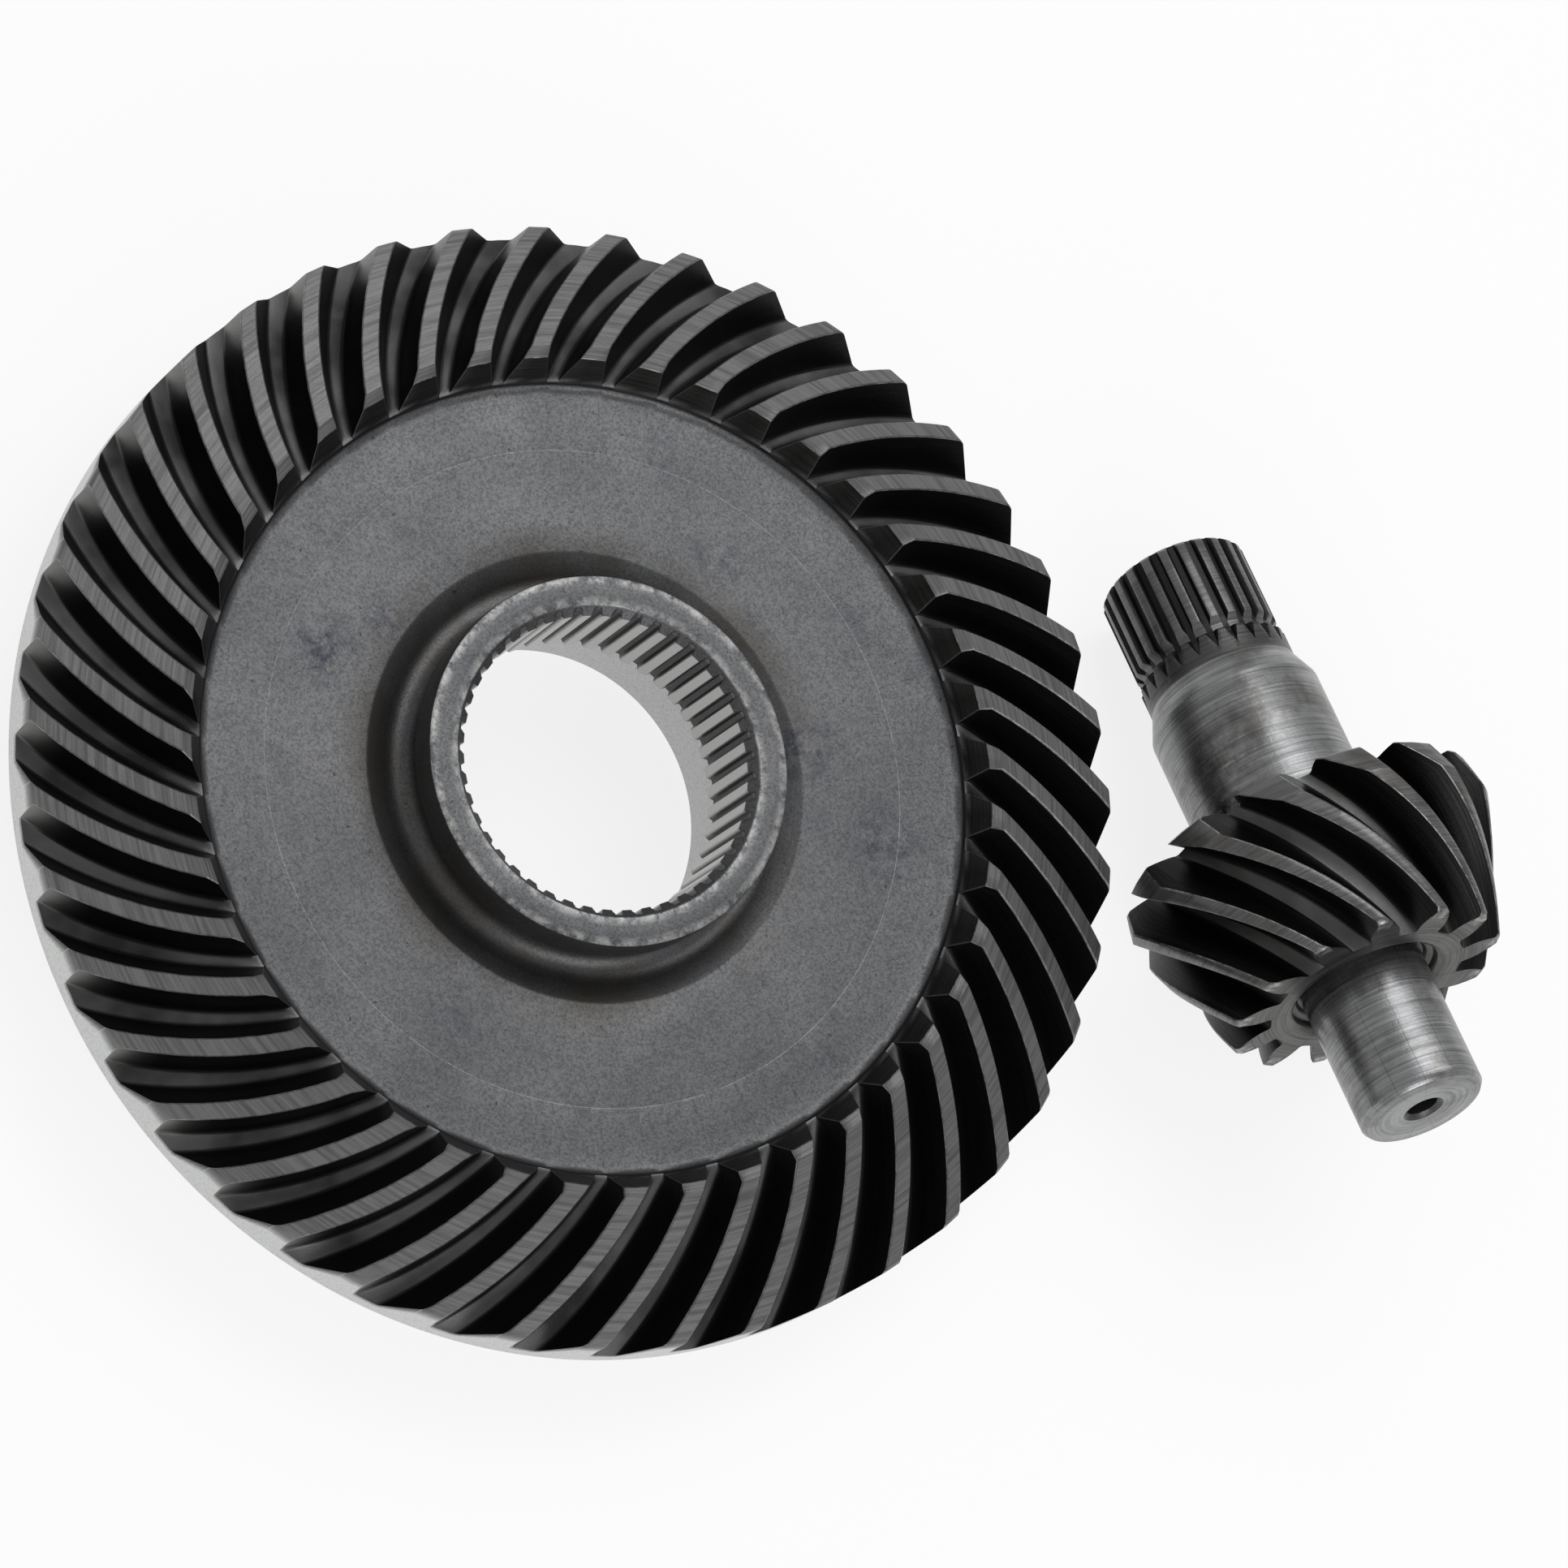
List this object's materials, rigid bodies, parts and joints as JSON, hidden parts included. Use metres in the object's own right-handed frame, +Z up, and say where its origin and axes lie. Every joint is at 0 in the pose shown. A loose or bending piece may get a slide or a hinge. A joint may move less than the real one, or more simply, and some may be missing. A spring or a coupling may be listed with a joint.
{
  "type": "spiral bevel gear pair",
  "caption": "Spiral bevel crown gear with a splined hub and its pinion shaft with a journal, a bearing seat and a splined end, for a right-angle drive.",
  "frame": {"origin": "on the crown gear's axis, in the plane of its hub's rear face, which lies on the table", "axes": "+Z up along the crown gear's axis, from the rear face to the toothed side; the pinion shaft lies at +X +Y, with its journal end toward +X -Y and up; -Y is the side the pair is seen from"},
  "size_m": [0.2048, 0.2065, 0.0571],
  "materials": {
    "crown_steel": "phosphated grey case-hardened steel, satin, with darker tooth flanks",
    "pinion_steel": "case-hardened steel, dark tooth flanks, bright ground journal and bearing seat"
  },
  "bodies": {
    "crown": {"crown_gear": "crown_steel"},
    "pinion": {"pinion_shaft": "pinion_steel"}
  },
  "joints": [
    {"name": "pinion_spin", "type": "hinge", "parent": "crown", "child": "pinion", "pos_m": [0.07616, 0.08948, 0.02889], "axis": [0.8779, -0.3565, 0.3196], "continuous": true}
  ]
}
